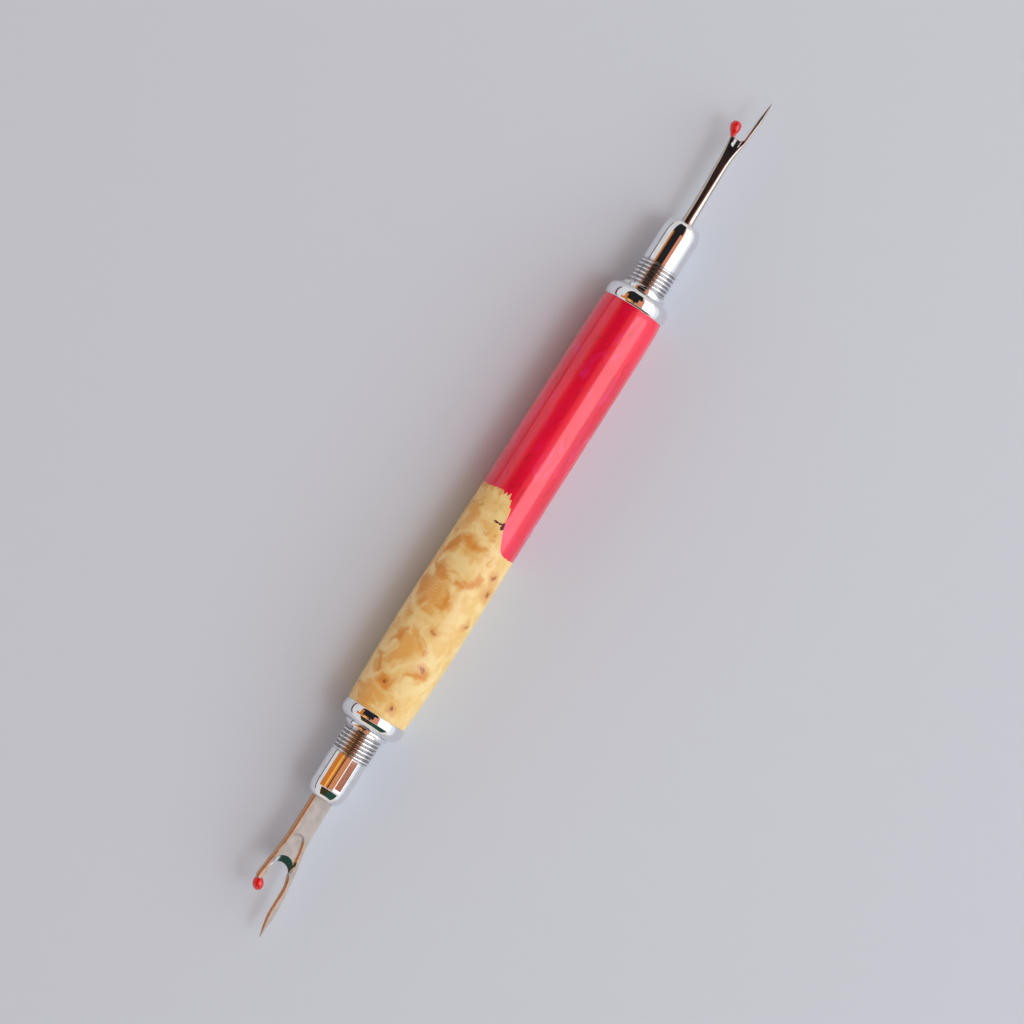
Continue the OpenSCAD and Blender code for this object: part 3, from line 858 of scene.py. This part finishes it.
def bead_material():
    """Smooth red plastic, a little uneven."""
    s = Shader("bead_plastic", Coat_Weight=1.0, Coat_Roughness=0.03)
    patches = s.noise(s.mm, 1.4, 3.0)
    s.set("Base Color", s.mix(s.span(patches, 0.3, 0.7), rgb(232, 6, 20), rgb(206, 0, 14)))
    s.set("Roughness", s.span(patches, 0.3, 0.7, 0.22, 0.34))
    s.bump(s.noise(s.mm, 5.0, 2.0), 0.004)
    return s.material


burl = burl_material()
resin = resin_material()
chrome = metal("fitting_chrome", (0.88, 0.89, 0.91, 1.0), 0.03, 0.02)
# Darker, rougher chrome for the thread's groove faces: painted shade between the teeth.
groove_shade = metal("thread_groove_painted_shade", (0.42, 0.40, 0.40, 1.0), 0.2, 0.05)
brass = metal("tube_brass", (0.76, 0.52, 0.20, 1.0), 0.22, 0.1, (0.2, 1.0, 1.0), 0.004)
polished = metal("polished_steel", (0.72, 0.70, 0.70, 1.0), 0.05, 0.03)
# Warmer, darker steel for the small blade's rounded edges: painted reflection of the warm surroundings.
polished_edge_reflection = metal("polished_steel_edge_painted_reflection", (0.66, 0.60, 0.55, 1.0), 0.08, 0.04)
brushed = metal("brushed_steel", (0.50, 0.47, 0.45, 1.0), 0.42, 0.16, (0.25, 1.6, 1.0), 0.006, 0.5)
# Copper-brown steel for the large blade's broad edges and hollow wall: painted reflection of the warm shade
# beside the tool.
brushed_edge_reflection = metal("brushed_steel_edge_painted_reflection", (0.66, 0.38, 0.21, 1.0), 0.22, 0.1, (0.3, 1.0, 1.0), 0.004)
ground_steel = metal("ground_steel", (0.62, 0.64, 0.64, 1.0), 0.09, 0.05, (1.5, 0.4, 1.0), 0.002)
bead_red = bead_material()


# --- The pieces ---

handle_section("burl_section_look", -HANDLE_END, "burl_wood", burl)
handle_section("resin_section_look", HANDLE_END, "red_resin", resin)

# the tube keeps its CAD shape
tube = frame["nodes"]["brass_tube"].data
tube.materials.clear()
tube.materials.append(brass)

for end, place in (("small", at_small_end), ("large", at_large_end)):
    coupler().piece(f"{end}_end_coupler_look", place, "handle", "fitting_chrome", [chrome, groove_shade])
    stop_ring().piece(f"{end}_stop_ring_look", place, f"{end}_ring", "fitting_chrome", [chrome])
for end, place, hole in (("small", at_small_end, round_hole()), ("large", at_large_end, flat_hole())):
    tip_holder(hole).piece(f"{end}_tip_holder_look", place, f"{end}_tip", "fitting_chrome", [chrome, groove_shade])


def place_large_blade(points):
    return at_large_end(rolled(points + [NOSE_FRONT, 0, 0], -LARGE_ROLL))


def leaning(points, centre, lean):
    """A bead's own frame put at a point of the blade's plane, turned by a lean in degrees."""
    c, t = math.cos(math.radians(lean)), math.sin(math.radians(lean))
    x, y, z = points.T
    return np.column_stack([centre[0] + x * c - y * t, centre[1] + x * t + y * c, z])


def place_large_bead(points):
    return place_large_blade(leaning(points, (20.15, -1.88), 30))


def place_small_blade(points):
    return at_small_end(points * [1, -1, 1] + [NOSE_FRONT, 0, 0])


def place_small_bead(points):
    return place_small_blade(leaning(points, (19.2, -1.64), -14))


large_blade().piece("large_blade_look", place_large_blade, "large_tip", "brushed_steel",
                    [brushed, brushed_edge_reflection, ground_steel])
small_blade().piece("small_blade_look", place_small_blade, "small_tip", "polished_steel",
                    [polished, polished_edge_reflection, ground_steel])
large_bead().piece("large_bead_look", place_large_bead, "large_tip", "bead_plastic", [bead_red])
small_bead().piece("small_bead_look", place_small_bead, "small_tip", "bead_plastic", [bead_red])


# --- Floor, light and camera ---

def stage_material(name, colour, emission=0.0):
    """A matt material, or one that only glows when emission is over 0."""
    s = Shader(name, Roughness=0.9)
    if emission:
        s.bsdf.inputs["Emission Color"].default_value = colour
        s.bsdf.inputs["Emission Strength"].default_value = emission
        s.bsdf.inputs["Base Color"].default_value = (0.0, 0.0, 0.0, 1.0)
    else:
        s.bsdf.inputs["Base Color"].default_value = colour
    return s.material


def floor():
    """Paper under the tool. It lies 0.01 mm low, clear of the facets of the handle's belly."""
    size = 4.0
    mesh = bpy.data.meshes.new("floor")
    corners = [(-size, -size, 0), (size, -size, 0), (size, size, 0), (-size, size, 0)]
    mesh.from_pydata(corners, [], [(0, 1, 2, 3)])
    mesh.materials.append(stage_material("floor_paper", (0.66, 0.73, 0.83, 1.0)))
    obj = bpy.data.objects.new("floor", mesh)
    obj.location.z = -0.01 * MM
    bpy.context.scene.collection.objects.link(obj)


def card(name, x_span, tilt_span, distance, colour, strength, shadow=False):
    """A curved screen over the tool, for polished metal to mirror. The camera doesn't see it.

    Spans along X and distances from the floor's middle are in m. Tilts are degrees from straight up,
    positive towards +Y.
    """
    tilts = np.radians(np.linspace(tilt_span[0], tilt_span[1], 9))
    rows = [[(x, distance * math.sin(t), distance * math.cos(t)) for x in x_span] for t in tilts]
    mesh = bpy.data.meshes.new(name)
    faces = [(2 * i, 2 * i + 1, 2 * i + 3, 2 * i + 2) for i in range(len(tilts) - 1)]
    mesh.from_pydata([p for row in rows for p in row], [], faces)
    mesh.materials.append(stage_material(name, colour, strength))
    obj = bpy.data.objects.new(name, mesh)
    bpy.context.scene.collection.objects.link(obj)
    obj.visible_camera = False
    obj.visible_shadow = shadow


def area_light(name, tilt, distance, size, power, colour, mirrored=True):
    """A soft rectangle that faces the tool, at a tilt in degrees from straight up towards +Y.

    Polished metal mirrors it only when mirrored is true.
    """
    data = bpy.data.lights.new(name, "AREA")
    data.shape = "RECTANGLE"
    data.size, data.size_y = size
    data.energy = power
    data.color = colour
    obj = bpy.data.objects.new(name, data)
    t = math.radians(tilt)
    away = Vector((0, math.sin(t), math.cos(t)))
    obj.matrix_world = Matrix.Translation(away * distance) @ Matrix.Rotation(-t, 4, "X")
    bpy.context.scene.collection.objects.link(obj)
    obj.visible_glossy = mirrored


def world():
    made = bpy.data.worlds.new("studio")
    made.use_nodes = True
    made.node_tree.nodes["Background"].inputs["Color"].default_value = (1.0, 0.92, 0.85, 1.0)
    made.node_tree.nodes["Background"].inputs["Strength"].default_value = 0.8
    bpy.context.scene.world = made


def camera():
    """Almost straight above, with the tool running up to the right."""
    turn = math.radians(57.6)
    aim_right, aim_up = 0.00135, -0.00019
    lean_right, lean_up, height = -0.0127, -0.0177, 0.6997
    right = Vector((math.cos(turn), -math.sin(turn), 0))
    up = Vector((math.sin(turn), math.cos(turn), 0))
    centre = right * aim_right + up * aim_up + Vector((0, 0, AXIS_Z * MM))
    place = centre + right * lean_right + up * lean_up + Vector((0, 0, height))
    z = (place - centre).normalized()
    x = (right - z * right.dot(z)).normalized()
    y = z.cross(x)
    data = bpy.data.cameras.new("camera")
    data.sensor_width = 36
    data.lens = 128
    data.clip_start, data.clip_end = 0.05, 20
    obj = bpy.data.objects.new("camera", data)
    obj.matrix_world = Matrix.Translation(place) @ Matrix((x, y, z)).transposed().to_4x4()
    bpy.context.scene.collection.objects.link(obj)
    bpy.context.scene.camera = obj


DARK = (0.012, 0.011, 0.014, 1.0)
WHITE = (1.0, 0.99, 0.97, 1.0)
ORANGE = rgb(228, 132, 48)

floor()
area_light("window", -47, 1.6, (0.9, 1.4), 7.5, (0.9, 0.95, 1.0))
area_light("overhead", -20, 1.5, (0.5, 0.9), 6.5, (0.95, 0.98, 1.0), mirrored=False)
for name, x_span, tilt_span, distance, colour, strength in (
        ("dark", (-0.105, 1.7), (-2, 39), 1.3, DARK, 0),
        ("end", (0.4, 2.4), (-14, 50), 1.25, DARK, 0),
        ("orange", (-0.105, 1.2), (39, 50), 1.3, ORANGE, 0.8),
        ("pink", (-0.105, 1.2), (-21, -2), 1.3, rgb(240, 156, 120), 0.8),
        ("back_orange", (-0.45, -0.105), (13, 62), 1.3, ORANGE, 0.8),
        ("amber", (-0.45, -0.105), (22, 33), 1.25, rgb(255, 182, 84), 0.95),
        ("line", (-0.45, -0.105), (7, 13), 1.3, DARK, 0),
        ("salmon", (-0.45, -0.105), (-23, 7), 1.3, rgb(226, 146, 98), 0.85),
        ("edge", (-0.3, -0.105), (-27, -23), 1.3, WHITE, 1.2),
        ("copper", (-0.22, -0.11), (-69, -27), 1.3, rgb(196, 122, 92), 0.8),
        ("front", (0.46, 1.9), (-70, -20), 1.5, WHITE, 1.2),
        ("green", (-1.7, -0.46), (-66, -2), 1.15, rgb(40, 88, 74), 0.65),
        ("olive", (-1.7, -0.46), (-2, 44), 1.15, rgb(74, 56, 16), 0.7)):
    card(f"{name}_card", x_span, tilt_span, distance, colour, strength)
for name, x_span, tilt_span, distance, colour, strength in (
        ("left", (-2.4, 2.4), (52, 81), 1.8, (0.72, 0.73, 0.75, 1.0), 0.95),
        ("low", (-1.2, 1.2), (83, 89.6), 1.7, rgb(92, 52, 48), 0),
        ("right", (-1.2, 1.6), (-89, -70), 1.9, (0.92, 0.95, 1.0, 1.0), 0.95)):
    card(f"{name}_card", x_span, tilt_span, distance, colour, strength, shadow=True)
world()
camera()
bpy.context.scene.view_settings.view_transform = "Standard"
